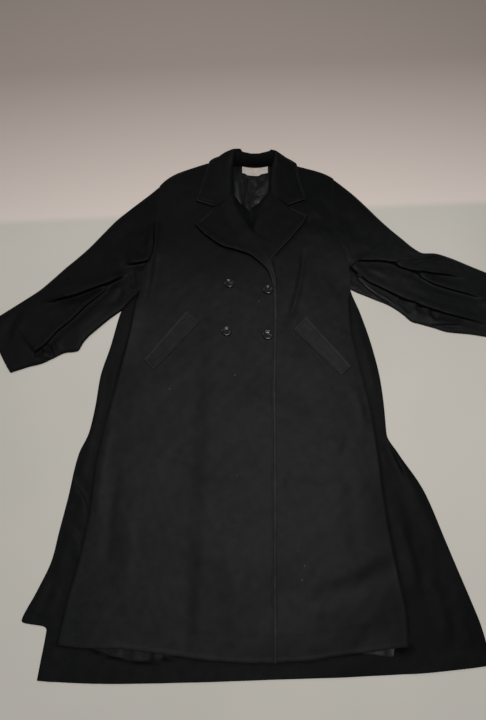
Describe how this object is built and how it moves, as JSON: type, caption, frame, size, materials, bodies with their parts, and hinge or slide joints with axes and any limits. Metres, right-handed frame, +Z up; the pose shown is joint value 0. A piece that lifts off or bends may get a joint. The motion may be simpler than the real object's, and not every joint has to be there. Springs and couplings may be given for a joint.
{
  "type": "double-breasted overcoat laid flat",
  "caption": "Long black wool double-breasted overcoat with notched lapels, slanted welt pockets and satin lining, buttoned and laid flat on its back with the sleeves spread.",
  "frame": {"origin": "bottom centre of the bounding box, on the surface the coat lies on", "axes": "+Z up away from the surface, +Y towards the collar, +X towards the wearer's left sleeve"},
  "size_m": [1.396, 1.3332, 0.0413],
  "materials": {
    "wool": "black felted wool coating with a short nap and a soft cool sheen",
    "satin": "black satin lining, glossy, creased",
    "label": "blank off-white woven ribbon label",
    "button": "glossy black moulded button with a raised rim"
  },
  "bodies": {
    "root": {"back": "wool", "front_left": "wool", "front_right": "wool", "lapel_left": "wool", "lapel_right": "wool", "collar": "wool", "sleeve_left": "wool", "sleeve_right": "wool", "welt_left": "wool", "welt_right": "wool", "lining_neck": "satin", "lining_hem": "satin", "label": "label", "button_upper_right": "button", "button_upper_left": "button", "button_lower_right": "button", "button_lower_left": "button"}
  },
  "joints": []
}
